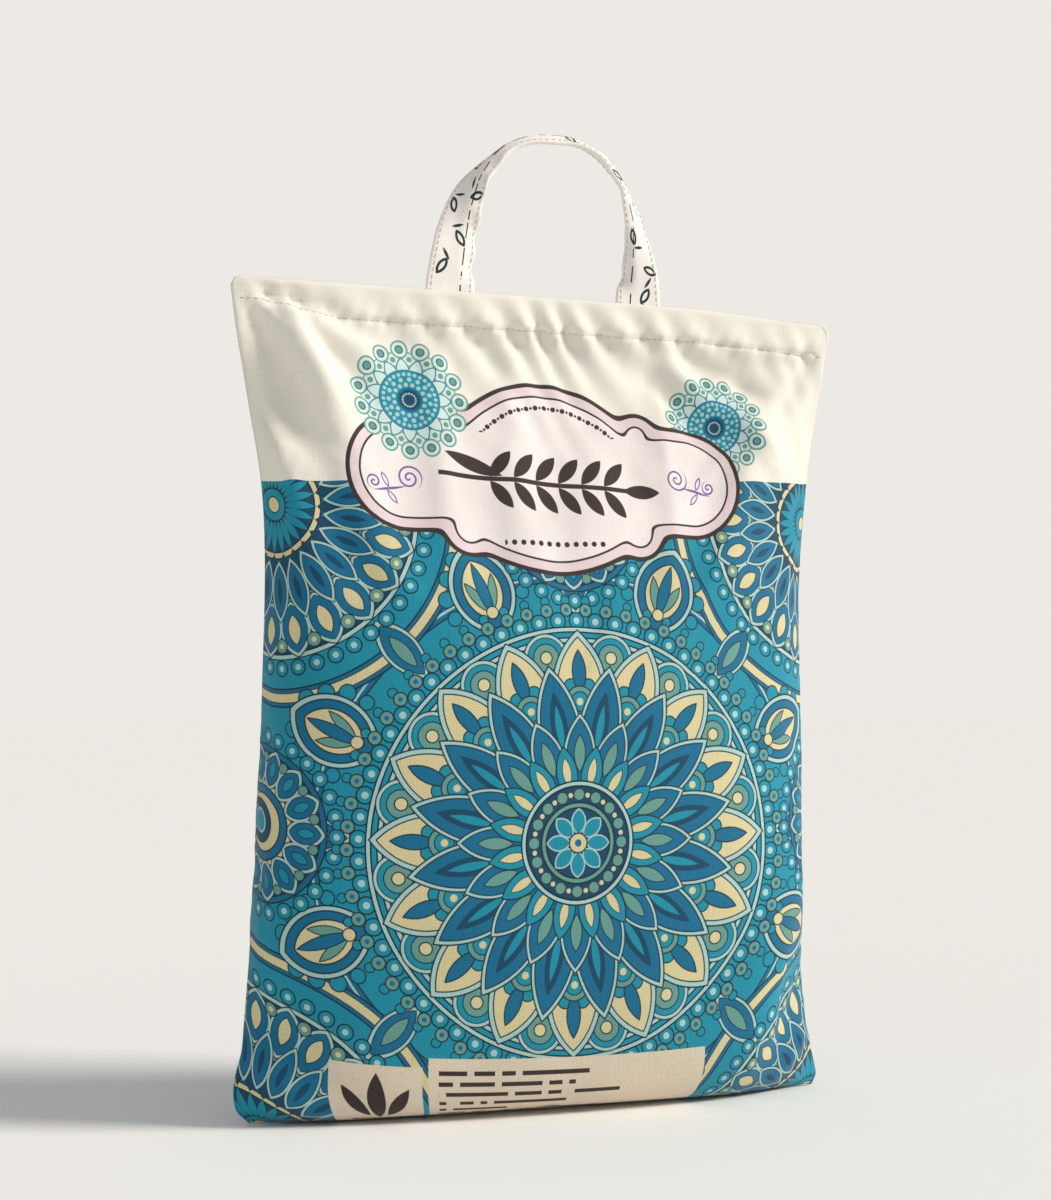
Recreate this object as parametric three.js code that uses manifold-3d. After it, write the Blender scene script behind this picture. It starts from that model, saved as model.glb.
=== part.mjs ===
// A ten kilogram cotton rice bag with a sewn loop strap, full and standing on its base.
// Millimetres, +Z up, the front looks along -Y, the origin is under the middle of the bag.
import * as THREE from "three";
import { mergeVertices } from "three/addons/utils/BufferGeometryUtils.js";
import Module from "manifold-3d";

// Driving dimensions of the filled bag
const BAG_HEIGHT = 475;
const TOP_HALF_WIDTH = 189;
const MAX_HALF_DEPTH = 56;
const HEM_DEPTH = 22;
const HEM_HALF_THICKNESS = 4.2;
const TOP_EDGE_HALF_THICKNESS = 3;
const STITCH_DIP = 0.8;
const SEAM_HALF_THICKNESS = 1.2;

// The seam is drawn in at the waist and runs out again to the sewn corners
const LEFT_WAIST_INSET = 19.5;
const RIGHT_WAIST_INSET = 27;
const LEFT_FOOT_INSET = 7.5;
const RIGHT_FOOT_INSET = 12;

// The base is a flat lens, and the cloth rounds up from it
const BASE_HALF_DEPTH = 29;
const BASE_CORNER_ROUNDING = 9;

// Driving dimensions of the carry strap
const STRAP_WIDTH = 29.5;
const STRAP_THICKNESS = 2.6;
const STRAP_HALF_SPAN = 59.5;
const STRAP_RISE = 95;
const STRAP_LEAN = 6;
const STRAP_CREASE = 4.5;
const STRAP_FOOT_DEPTH = 13;
const STRAP_ARCH_POWER_X = 0.8;
const STRAP_ARCH_POWER_Z = 0.9;
const FIT_GAP = 0.3;

// Folds that the filling and the hem thread pull into the cloth
const HEM_PUCKER_DEPTH = 1.3;
const HEM_PUCKER_PITCH = 47;
const HEM_PUCKER_REACH = 46;
const CORNER_FOLD_DEPTH = 3.2;
const CORNER_FOLD_WIDTH = 17;
const CORNER_FOLD_END_X = 118;
const CORNER_FOLD_END_Z = 372;

// Mesh steps
const RING_POINTS = 72;
const LEVEL_STEP = 13;
const STRAP_FOOT_STEPS = 3;
const STRAP_STEPS = 54;
const STRAP_SIDE_POINTS = 6;

const CANVAS_COLOUR = 0xeae4da;
const STRAP_COLOUR = 0xe9e3dc;

const hemLine = BAG_HEIGHT - HEM_DEPTH;

function smoothCurve(points) {
  const heights = points.map((point) => point[0]);
  const values = points.map((point) => point[1]);
  const interpolant = new THREE.CubicInterpolant(heights, values, 1, new Float32Array(1));
  return (height) => interpolant.evaluate(height)[0];
}

// Distance from the middle to each side seam at a given height
const leftHalfWidth = smoothCurve([
  [0, TOP_HALF_WIDTH - LEFT_FOOT_INSET - BASE_CORNER_ROUNDING],
  [7, TOP_HALF_WIDTH - LEFT_FOOT_INSET],
  [45, TOP_HALF_WIDTH - LEFT_FOOT_INSET - 2.5],
  [120, TOP_HALF_WIDTH - LEFT_WAIST_INSET + 4.5],
  [240, TOP_HALF_WIDTH - LEFT_WAIST_INSET],
  [350, TOP_HALF_WIDTH - LEFT_WAIST_INSET + 0.5],
  [407, TOP_HALF_WIDTH - LEFT_WAIST_INSET / 2],
  [hemLine, TOP_HALF_WIDTH - 2],
  [BAG_HEIGHT, TOP_HALF_WIDTH],
]);

const rightHalfWidth = smoothCurve([
  [0, TOP_HALF_WIDTH - RIGHT_FOOT_INSET - BASE_CORNER_ROUNDING],
  [6, TOP_HALF_WIDTH - RIGHT_FOOT_INSET],
  [50, TOP_HALF_WIDTH - RIGHT_WAIST_INSET + 5.5],
  [100, TOP_HALF_WIDTH - RIGHT_WAIST_INSET + 1],
  [147, TOP_HALF_WIDTH - RIGHT_WAIST_INSET],
  [240, TOP_HALF_WIDTH - RIGHT_WAIST_INSET + 3],
  [326, TOP_HALF_WIDTH - RIGHT_WAIST_INSET + 6],
  [380, TOP_HALF_WIDTH - RIGHT_WAIST_INSET / 2 - 1.5],
  [hemLine, TOP_HALF_WIDTH - 3],
  [BAG_HEIGHT, TOP_HALF_WIDTH],
]);

// Half of the bag's depth along its middle line at a given height
const halfDepth = smoothCurve([
  [0, BASE_HALF_DEPTH],
  [8, BASE_HALF_DEPTH + 7],
  [28, MAX_HALF_DEPTH - 12.5],
  [60, MAX_HALF_DEPTH - 6],
  [100, MAX_HALF_DEPTH - 1.5],
  [150, MAX_HALF_DEPTH],
  [200, MAX_HALF_DEPTH - 0.8],
  [250, MAX_HALF_DEPTH - 3.5],
  [300, MAX_HALF_DEPTH - 8],
  [350, MAX_HALF_DEPTH - 15.5],
  [390, MAX_HALF_DEPTH - 25],
  [420, MAX_HALF_DEPTH - 35],
  [440, MAX_HALF_DEPTH - 43.5],
  [hemLine, HEM_HALF_THICKNESS - STITCH_DIP],
  [hemLine + 5, HEM_HALF_THICKNESS],
  [BAG_HEIGHT, TOP_EDGE_HALF_THICKNESS],
]);

// Two powers give each section its form, from a lens at the base to a flat hem at the top
const sectionFullness = smoothCurve([
  [0, 2.0],
  [120, 2.4],
  [250, 2.6],
  [390, 3.4],
  [hemLine, 7],
  [BAG_HEIGHT, 8],
]);
const sectionRoundness = smoothCurve([
  [0, 1.7],
  [120, 1.85],
  [300, 1.85],
  [400, 1.7],
  [BAG_HEIGHT, 1.5],
]);

function bump(distance, width) {
  return Math.exp(-(distance * distance) / (width * width));
}

// How far the folds stand in from the smooth form at one place on a face
function foldDepth(x, z) {
  const belowHem = Math.max(hemLine - z, 0);
  const hemFade = Math.exp(-belowHem / HEM_PUCKER_REACH) * (z < hemLine ? 1 : 0.4);
  const pucker = HEM_PUCKER_DEPTH * hemFade * Math.cos((2 * Math.PI * x) / HEM_PUCKER_PITCH);
  const along = (BAG_HEIGHT - z) / (BAG_HEIGHT - CORNER_FOLD_END_Z);
  const foldX = TOP_HALF_WIDTH + (CORNER_FOLD_END_X - TOP_HALF_WIDTH) * along;
  const fade = Math.max(0, 1 - Math.abs(along * 2 - 1));
  const corner = CORNER_FOLD_DEPTH * fade * bump(Math.abs(x) - foldX, CORNER_FOLD_WIDTH);
  return pucker - corner;
}

function bagPoint(angle, z) {
  const across = THREE.MathUtils.clamp(Math.cos(angle) / Math.cos(Math.PI / RING_POINTS), -1, 1);
  const halfWidth = across < 0 ? leftHalfWidth(z) : rightHalfWidth(z);
  const x = halfWidth * across;
  const rim = Math.max(1 - Math.pow(Math.abs(across), sectionFullness(z)), 0);
  const depth = Math.max(halfDepth(z) * Math.pow(rim, 1 / sectionRoundness(z)), SEAM_HALF_THICKNESS);
  const fold = foldDepth(x, z) * Math.min((2 * depth) / MAX_HALF_DEPTH, 1);
  return new THREE.Vector3(x, (depth - fold) * Math.sign(Math.sin(angle)), z);
}

function bagLevels() {
  const levels = [0, 2.5, 8, 16, 28];
  const bodySteps = Math.round((hemLine - 6 - 28) / LEVEL_STEP);
  for (let step = 1; step <= bodySteps; step += 1) {
    levels.push(28 + ((hemLine - 6 - 28) * step) / bodySteps);
  }
  levels.push(hemLine, hemLine + 5, hemLine + 13, BAG_HEIGHT);
  return levels;
}

// A closed mesh from rings of equal length, with each end closed by a strip across its ring
function loftRings(rings) {
  const ringLength = rings[0].length;
  const positions = rings.flat().flatMap((point) => [point.x, point.y, point.z]);
  const index = [];
  for (let level = 0; level < rings.length - 1; level += 1) {
    for (let i = 0; i < ringLength; i += 1) {
      const next = (i + 1) % ringLength;
      const low = level * ringLength;
      const high = low + ringLength;
      index.push(low + i, low + next, high + next);
      index.push(low + i, high + next, high + i);
    }
  }
  const last = (rings.length - 1) * ringLength;
  for (let i = 0; i < ringLength / 2 - 1; i += 1) {
    const opposite = ringLength - 1 - i;
    index.push(i, opposite, i + 1);
    index.push(opposite, opposite - 1, i + 1);
    index.push(last + i, last + i + 1, last + opposite);
    index.push(last + opposite, last + i + 1, last + opposite - 1);
  }
  const geometry = new THREE.BufferGeometry();
  geometry.setAttribute("position", new THREE.Float32BufferAttribute(positions, 3));
  geometry.setIndex(index);
  return geometry;
}

function bagGeometry() {
  const rings = bagLevels().map((z) => {
    const ring = [];
    for (let i = 0; i < RING_POINTS; i += 1) {
      ring.push(bagPoint((2 * Math.PI * (i + 0.5)) / RING_POINTS, z));
    }
    return ring;
  });
  return loftRings(rings);
}

// The strap runs up from the left foot, over the arch and down to the right foot.
// Its face looks forward at the feet and turns outward until it lies level at the top.
function strapFrame(step) {
  const archSteps = STRAP_STEPS - 2 * STRAP_FOOT_STEPS;
  const archStep = THREE.MathUtils.clamp(step - STRAP_FOOT_STEPS, 0, archSteps);
  const angle = (Math.PI * archStep) / archSteps;
  const side = Math.sign(Math.cos(angle));
  const rise = Math.pow(Math.sin(angle), STRAP_ARCH_POWER_Z);
  const reach = side * Math.pow(Math.abs(Math.cos(angle)), STRAP_ARCH_POWER_X);
  const missing = Math.max(STRAP_FOOT_STEPS - step, step - STRAP_FOOT_STEPS - archSteps, 0) / STRAP_FOOT_STEPS;
  const centre = new THREE.Vector3(
    STRAP_LEAN * Math.sin(angle) - STRAP_HALF_SPAN * reach,
    0,
    BAG_HEIGHT + STRAP_RISE * rise - STRAP_FOOT_DEPTH * missing,
  );
  return { centre, rise };
}

function strapRing(step) {
  const { centre, rise } = strapFrame(step);
  const before = strapFrame(Math.max(step - 1, 0)).centre;
  const after = strapFrame(Math.min(step + 1, STRAP_STEPS)).centre;
  const along = after.sub(before).normalize();
  const inward = new THREE.Vector3(along.z, 0, -along.x);
  const forward = new THREE.Vector3(0, -1, 0);
  const roll = (Math.PI / 2) * rise;
  const across = inward.clone().multiplyScalar(Math.cos(roll));
  across.addScaledVector(forward, Math.sin(roll));
  const face = forward.clone().multiplyScalar(Math.cos(roll));
  face.addScaledVector(inward, -Math.sin(roll));
  const crease = STRAP_CREASE * Math.min(rise * 2, 1);
  const ring = [];
  for (const side of [1, -1]) {
    for (let i = 0; i < STRAP_SIDE_POINTS; i += 1) {
      const v = side * ((2 * i) / (STRAP_SIDE_POINTS - 1) - 1);
      const point = centre.clone().addScaledVector(across, (v * STRAP_WIDTH) / 2);
      const lift = crease * (0.5 - Math.abs(v)) + (side * STRAP_THICKNESS) / 2;
      ring.push(point.addScaledVector(face, lift));
    }
  }
  return ring;
}

function strapGeometry() {
  const rings = [];
  for (let step = 0; step <= STRAP_STEPS; step += 1) {
    rings.push(strapRing(step));
  }
  return loftRings(rings);
}

const wasm = await Module();
wasm.setup();

function toSolid(geometry) {
  const bare = geometry.clone();
  bare.deleteAttribute("normal");
  bare.deleteAttribute("uv");
  const merged = mergeVertices(bare, 1e-3);
  return new wasm.Manifold(new wasm.Mesh({
    numProp: 3,
    vertProperties: new Float32Array(merged.attributes.position.array),
    triVerts: new Uint32Array(merged.index.array),
  }));
}

function toGeometry(solid) {
  const mesh = solid.getMesh();
  const geometry = new THREE.BufferGeometry();
  geometry.setAttribute("position", new THREE.BufferAttribute(mesh.vertProperties, 3));
  geometry.setIndex(new THREE.BufferAttribute(mesh.triVerts, 1));
  geometry.computeVertexNormals();
  return geometry;
}

// The pocket between the two cloths of the hem that takes one foot of the strap
function footPocket(side) {
  const depth = STRAP_FOOT_DEPTH + FIT_GAP;
  const over = 5;
  const pocket = new THREE.BoxGeometry(
    STRAP_WIDTH + 2 * FIT_GAP,
    STRAP_THICKNESS + 2 * FIT_GAP,
    depth + over,
  );
  pocket.translate(side * STRAP_HALF_SPAN, 0, BAG_HEIGHT + (over - depth) / 2);
  return toSolid(pocket);
}

const bagSolid = toSolid(bagGeometry()).subtract(footPocket(-1)).subtract(footPocket(1));
const canvas = new THREE.MeshStandardMaterial({ color: CANVAS_COLOUR, roughness: 0.9, metalness: 0 });
const strapCloth = new THREE.MeshStandardMaterial({ color: STRAP_COLOUR, roughness: 0.9, metalness: 0 });

const filledBag = new THREE.Mesh(toGeometry(bagSolid), canvas);
filledBag.name = "filled_bag";

const carryStrap = new THREE.Mesh(toGeometry(toSolid(strapGeometry())), strapCloth);
carryStrap.name = "carry_strap";

const group = new THREE.Group();
group.add(filledBag, carryStrap);

export default group;
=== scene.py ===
"""A ten kilogram canvas rice bag with a sewn carry strap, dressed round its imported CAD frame.

Metres, +Z up, the front looks along -Y. The front and back panels are one cloth simulation that starts
from the CAD form. Their print is drawn in the flat cloth's own millimetres: across from the middle, and up
from the base.
"""

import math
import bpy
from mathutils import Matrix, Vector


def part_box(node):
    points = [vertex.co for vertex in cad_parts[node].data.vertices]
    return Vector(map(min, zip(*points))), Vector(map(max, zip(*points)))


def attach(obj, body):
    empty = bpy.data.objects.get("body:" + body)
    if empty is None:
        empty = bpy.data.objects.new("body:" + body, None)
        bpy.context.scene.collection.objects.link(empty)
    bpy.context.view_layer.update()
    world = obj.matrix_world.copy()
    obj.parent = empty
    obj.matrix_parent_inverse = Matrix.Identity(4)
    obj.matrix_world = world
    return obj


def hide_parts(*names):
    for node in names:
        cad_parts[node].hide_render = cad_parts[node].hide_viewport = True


bl_info = {
    "name": "Canvas Rice Bag",
    "version": (1, 0, 0),
    "blender": (4, 5, 0),
    "location": "View3D > Sidebar > Rice Bag",
    "description": "Builds a printed canvas rice bag with a carry strap round its CAD frame",
    "category": "Add Mesh",
}

import bmesh
import bpy
import numpy as np
from bpy.props import FloatProperty, FloatVectorProperty, IntProperty, PointerProperty
from mathutils import Vector
from mathutils.bvhtree import BVHTree

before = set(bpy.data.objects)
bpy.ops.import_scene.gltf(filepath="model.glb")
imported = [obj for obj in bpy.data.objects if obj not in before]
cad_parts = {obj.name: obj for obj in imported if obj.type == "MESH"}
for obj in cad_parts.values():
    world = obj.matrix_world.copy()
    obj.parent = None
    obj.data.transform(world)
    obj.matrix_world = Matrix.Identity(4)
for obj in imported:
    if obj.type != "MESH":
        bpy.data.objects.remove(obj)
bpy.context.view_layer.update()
BAG_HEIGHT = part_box("filled_bag")[1][2]

MM = 0.001
# The cloth panels as grids, and how far a stitch's middle lies over its cloth
PANEL_COLUMNS = 64
PANEL_ROWS = 88
STITCH_LIFT = 0.0001


def linear(hex_colour):
    """Turns an sRGB hex colour into linear red, green, blue and alpha."""
    parts = [int(hex_colour[i:i + 2], 16) / 255 for i in (1, 3, 5)]
    return [v / 12.92 if v <= 0.04045 else ((v + 0.055) / 1.055) ** 2.4 for v in parts] + [1.0]


def length_property(name, metres, description):
    """A length that the user can change."""
    return FloatProperty(name=name, description=description, default=metres, unit="LENGTH")


def colour_property(name, hex_colour, description):
    """A colour that the user can change, given as an sRGB hex value."""
    return FloatVectorProperty(name=name, description=description, subtype="COLOR", size=4, min=0, max=1,
                               default=linear(hex_colour))


class BagClothSettings(bpy.types.PropertyGroup):
    """Sizes of the sewn canvas."""

    width: length_property("Cloth width", 0.392, "Width of one flat panel between its side seams")
    thickness: length_property("Canvas thickness", 0.0006, "Thickness of one layer of canvas")
    hem_depth: length_property("Hem depth", 0.022, "How far the hem's stitches lie below the top edge")
    rice_volume: FloatProperty(
        name="Rice volume", description="Volume that the filling holds the cloth at, in cubic metres",
        default=0.0110, precision=4)
    most_travel: length_property(
        "Most travel", 0.020, "How far the simulation may move the cloth from the CAD form")
    frames: IntProperty(
        name="Settling frames", description="Frames that the cloth has to settle", default=24, min=2)
    stitch_length: length_property("Stitch length", 0.0040, "Distance from one stitch to the next")
    thread_thickness: length_property("Thread thickness", 0.0007, "Thickness of the sewing thread")


class BagStrapSettings(bpy.types.PropertyGroup):
    """Sizes of the carry strap, as in the CAD source."""

    width: length_property("Strap width", 0.0295, "Width of the sewn strap")
    thickness: length_property("Strap thickness", 0.0026, "Thickness of the folded strap")
    half_span: length_property("Half span", 0.0595, "Half of the distance between the middles of the feet")
    rise: length_property("Rise", 0.095, "Height of the strap's middle line over the bag's top edge")
    lean: length_property("Lean", 0.006, "How far the top of the arch stands to the right")
    crease: length_property("Crease", 0.0045, "How far the lengthwise crease stands out")
    foot_depth: length_property("Foot depth", 0.013, "How far the feet run down into the hem")


class BagColourSettings(bpy.types.PropertyGroup):
    """Colours of the canvas and its print."""

    canvas: colour_property("Canvas", "#EEEADE", "Bleached cotton canvas")
    thread: colour_property("Thread", "#D3C7AC", "Sewing thread")
    ground: colour_property("Ground", "#118FA8", "Teal ground of the print")
    petal: colour_property("Petal", "#046C93", "Blue petals")
    deep: colour_property("Deep blue", "#064664", "Deep blue grounds inside the rosettes")
    line: colour_property("Line", "#0D303E", "Dark outlines")
    pale: colour_property("Pale", "#ABCECA", "Pale outlines")
    sage: colour_property("Sage", "#679C92", "Sage green shapes")
    cream: colour_property("Cream", "#D9CE9F", "Cream shapes")
    ink: colour_property("Ink", "#3A2E2C", "Dark brown ink of the label")
    blush: colour_property("Blush", "#E8D5D9", "Pink border of the label")
    violet: colour_property("Violet", "#7D5FA6", "Violet scrolls of the label")


class StageSettings(bpy.types.PropertyGroup):
    """Floor, lights and camera."""

    floor: colour_property("Floor", "#F3F2F0", "Plain pale floor")
    backdrop: colour_property("Backdrop", "#EDEAE5", "Plain pale backdrop behind the floor")
    key_strength: FloatProperty(
        name="Key light", description="Strength of the soft key light", default=3.1)
    fill_power: FloatProperty(
        name="Fill light", description="Power of the soft fill light", default=0.9, unit="POWER")
    sky: FloatProperty(name="Sky", description="Strength of the plain surroundings", default=0.46)
    lens: FloatProperty(name="Lens", description="Focal length in millimetres", default=60.0)


def settings():
    """The add-on's settings in this scene."""
    return bpy.context.scene.rice_bag


def put(name, data):
    """Puts an object with the given data in the scene."""
    piece = bpy.data.objects.new(name, data)
    bpy.context.scene.collection.objects.link(piece)
    return piece


def flat_square(name, reach):
    """A level square at the height of the floor."""
    mesh = bpy.data.meshes.new(name)
    corners = [(-reach, -reach, 0), (reach, -reach, 0), (reach, reach, 0), (-reach, reach, 0)]
    mesh.from_pydata(corners, [], [(0, 1, 2, 3)])
    return put(name, mesh)


def smooth_step(value, low, high):
    """A share that rises gently from 0 at low to 1 at high."""
    share = np.clip((value - low) / (high - low), 0, 1)
    return share * share * (3 - 2 * share)


def add(tree, kind, inputs=(), out=0, **options):
    """Adds a node with its settings, joins or sets its inputs, and returns one of its outputs."""
    node = tree.nodes.new(kind)
    for name, value in options.items():
        setattr(node, name, value)
    pairs = inputs.items() if isinstance(inputs, dict) else enumerate(inputs)
    for key, value in pairs:
        if isinstance(value, bpy.types.NodeSocket):
            tree.links.new(value, node.inputs[key])
        elif value is not None:
            node.inputs[key].default_value = value
    return node.outputs[out] if len(node.outputs) else None


def new_material(name):
    """An empty material and its node tree."""
    material = bpy.data.materials.new(name)
    material.use_nodes = True
    material.node_tree.nodes.clear()
    return material, material.node_tree


def new_group(name, kind, result, inputs):
    """A node group with one output and the given inputs, as names and types, and its input sockets."""
    tree = bpy.data.node_groups.new(name, kind)
    tree.interface.new_socket(result, in_out="OUTPUT", socket_type=f"NodeSocket{inputs[0][1]}")
    for socket, socket_type in inputs:
        tree.interface.new_socket(socket, in_out="INPUT", socket_type=f"NodeSocket{socket_type}")
    return tree, add(tree, "NodeGroupInput").node.outputs


def multiplied(tree, colour, tone):
    """A colour made lighter or darker by a plain tone."""
    tone = add(tree, "ShaderNodeCombineXYZ", [tone, tone, tone])
    return add(tree, "ShaderNodeMix", {0: 1.0, 6: colour, 7: tone}, out=2, data_type="RGBA",
               blend_type="MULTIPLY")


# Flat shapes of the print: each gives the distance to a shape's edge in millimetres, below zero inside

def across_and_up(tree, place):
    """A place's two coordinates. Dot products keep the nodes in order, so that the shader fits its stack."""
    return [add(tree, "ShaderNodeVectorMath", [place, axis], out=1, operation="DOT_PRODUCT")
            for axis in ((1, 0, 0), (0, 1, 0))]


def disc(tree, place, centre, radius):
    """A disc round a place."""
    away = add(tree, "ShaderNodeVectorMath", [place, centre], out=1, operation="DISTANCE")
    return add(tree, "ShaderNodeMath", [away, radius], operation="SUBTRACT")


def petal(tree, place, inner, outer, half_width):
    """A pointed petal along X from inner to outer, where place is folded about X."""
    half_length = (outer - inner) / 2
    radius = (half_length ** 2 + half_width ** 2) / (2 * half_width)
    return disc(tree, place, ((inner + outer) / 2, half_width - radius, 0), radius)


def leaf(tree, place, middle, turn, half_length, half_width):
    """A pointed leaf round its own middle, turned by so many degrees."""
    local = add(tree, "ShaderNodeMapping", {0: place, 1: (*middle, 0), 2: (0, 0, math.radians(turn))},
                vector_type="TEXTURE")
    folded = add(tree, "ShaderNodeVectorMath", [local], operation="ABSOLUTE")
    return petal(tree, folded, -half_length, half_length, half_width)


def shared(tree, shape, *others):
    """The part that all the shapes share."""
    for other in others:
        shape = add(tree, "ShaderNodeMath", [shape, other], operation="MAXIMUM")
    return shape


def box_shape(tree, place, low, high):
    """An upright rectangle between two corners."""
    middle = [(a + b) / 2 for a, b in zip(low, high)] + [0]
    half = [(b - a) / 2 for a, b in zip(low, high)] + [1]
    local = add(tree, "ShaderNodeVectorMath", [place, middle], operation="SUBTRACT")
    local = add(tree, "ShaderNodeVectorMath", [local], operation="ABSOLUTE")
    local = add(tree, "ShaderNodeVectorMath", [local, half], operation="SUBTRACT")
    return shared(tree, *across_and_up(tree, local))


def ring(tree, distance, radius, half_width):
    """The band on both sides of a circle, from the distance to its centre."""
    away = add(tree, "ShaderNodeMath", [distance, radius], operation="SUBTRACT")
    away = add(tree, "ShaderNodeMath", [away], operation="ABSOLUTE")
    return add(tree, "ShaderNodeMath", [away, half_width], operation="SUBTRACT")


def polar(tree, place, centre):
    """Distance and angle of a place round a centre."""
    local = add(tree, "ShaderNodeVectorMath", [place, centre], operation="SUBTRACT")
    distance = add(tree, "ShaderNodeVectorMath", [local], out=1, operation="LENGTH")
    aside, rise = across_and_up(tree, local)
    angle = add(tree, "ShaderNodeMath", [rise, aside], operation="ARCTAN2")
    return distance, angle


def wedge(tree, round_centre, parts, half_way=False):
    """Folds the plane round a centre into half a petal's wedge: X runs outward and Y is never below zero."""
    distance, angle = round_centre
    if half_way:
        angle = add(tree, "ShaderNodeMath", [angle, math.pi / parts], operation="ADD")
    angle = add(tree, "ShaderNodeMath", [angle, math.pi / parts], operation="PINGPONG")
    across = add(tree, "ShaderNodeMath", [angle], operation="COSINE")
    aside = add(tree, "ShaderNodeMath", [angle], operation="SINE")
    folded = add(tree, "ShaderNodeCombineXYZ", [across, aside])
    return add(tree, "ShaderNodeVectorMath", {0: folded, 3: distance}, operation="SCALE")


def print_pass():
    """A node group that prints one flat shape with its outline over the colour so far."""
    made = bpy.data.node_groups.get("Print pass")
    if made:
        return made
    tree, given = new_group("Print pass", "ShaderNodeTree", "Colour", (
        ("Colour", "Color"), ("Distance", "Float"), ("Fill", "Color"), ("Line", "Color"),
        ("Line width", "Float")))
    soft_edge = 0.2
    beyond = add(tree, "ShaderNodeMath", [given[1], given[4]], operation="SUBTRACT")
    outlined = add(tree, "ShaderNodeMapRange", [beyond, -soft_edge, soft_edge, 1.0, 0.0])
    colour = add(tree, "ShaderNodeMix", {0: outlined, 6: given[0], 7: given[3]}, out=2, data_type="RGBA")
    filled = add(tree, "ShaderNodeMapRange", [given[1], -soft_edge, soft_edge, 1.0, 0.0])
    colour = add(tree, "ShaderNodeMix", {0: filled, 6: colour, 7: given[2]}, out=2, data_type="RGBA")
    add(tree, "NodeGroupOutput", [colour])
    return tree


class Print:
    """The colour printed so far, over which one flat shape after another is laid."""

    def __init__(self, tree, inks, first):
        self.tree = tree
        self.inks = inks
        self.colour = inks[first]

    def lay(self, distance, fill, line=None, width=0.6):
        """Prints a shape, with an outline of so many millimetres round it."""
        given = [self.colour, distance, self.inks[fill], self.inks[line or fill], width if line else 0.0]
        self.colour = add(self.tree, "ShaderNodeGroup", given, node_tree=print_pass())

    def petals(self, place, *rows):
        """Prints petals along X: inner end, outer end, half width, fill, and the outline if there is one."""
        for inner, outer, half_width, *inks in rows:
            self.lay(petal(self.tree, place, inner, outer, half_width), *inks)

    def discs(self, place, *rows):
        """Prints discs: the middle's X and Y, radius, fill, and the outline if there is one."""
        for x, y, radius, *inks in rows:
            self.lay(disc(self.tree, place, (x, y, 0), radius), *inks)

    def rounds(self, distance, *rows):
        """Prints discs from the distance to their middle: radius, fill, and the outline if there is one."""
        for radius, *inks in rows:
            self.lay(add(self.tree, "ShaderNodeMath", [distance, radius], operation="SUBTRACT"), *inks)

    def bands(self, distance, stops):
        """Prints rings of plain colour, where stops are (outer radius, ink) from the middle out."""
        reach = stops[-1][0]
        share = add(self.tree, "ShaderNodeMath", [distance, reach], operation="DIVIDE")
        ramp = self.tree.nodes.new("ShaderNodeValToRGB")
        self.tree.links.new(share, ramp.inputs[0])
        ramp.color_ramp.interpolation = "CONSTANT"
        starts = [0.0] + [radius / reach for radius, _ in stops[:-1]]
        while len(ramp.color_ramp.elements) < len(stops):
            ramp.color_ramp.elements.new(1.0)
        for element, start, (_, ink) in zip(ramp.color_ramp.elements, starts, stops):
            element.position = start
            element.color = self.inks[ink]
        inside = add(self.tree, "ShaderNodeMath", [share, 1.0], operation="LESS_THAN")
        self.colour = add(self.tree, "ShaderNodeMix", {0: inside, 6: self.colour, 7: ramp.outputs[0]}, out=2,
                          data_type="RGBA")


# Places in the flat cloth, in millimetres. The field repeats to a square's corners round the main rosette
ROSETTE_CENTRE = (2, 188, 0)
CORNER_REACH = 188
LABEL_CENTRE = (-7, 398)
PRINT_TOP = 396.5
PRINT_TOP_SLOPE = 0.034


def print_corner_fans(art, eighth):
    """Quarter rosettes that run into the corners of the field."""
    tree = art.tree
    centre = polar(tree, eighth, (CORNER_REACH, CORNER_REACH, 0))
    beads = wedge(tree, centre, 52)
    art.discs(beads, (97, 0, 4.0, "ground", "line", 0.9), (97, 0, 1.7, "pale"))
    art.bands(centre[0], [
        (28, "deep"), (29, "line"), (32, "cream"), (33, "line"), (56, "petal"), (57, "line"), (59, "sage"),
        (60, "line"), (62, "pale"), (63, "line"), (88, "deep"), (89, "line"), (91.2, "pale"), (92.2, "line")])
    rays = wedge(tree, centre, 24)
    art.petals(rays, (59, 91, 10.0, "pale", "line", 0.8), (61, 88.5, 8.2, "petal", "line", 0.5),
               (67, 84, 3.8, "cream", "line", 0.6), (31, 52, 4.2, "deep", "line", 0.6),
               (9, 29, 2.3, "ground", "line", 0.5))
    between = wedge(tree, centre, 24, half_way=True)
    art.discs(between, (84, 0, 3.8, "sage", "line", 0.7), (84, 0, 1.5, "cream"))
    art.petals(between, (34, 70, 6.6, "pale", "line", 0.6), (37, 67, 5.0, "petal", "line", 0.5),
               (44, 60, 1.8, "deep"))
    art.rounds(centre[0], (9.5, "ground", "line", 1.0), (4.4, "cream", "line", 0.8))


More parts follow.
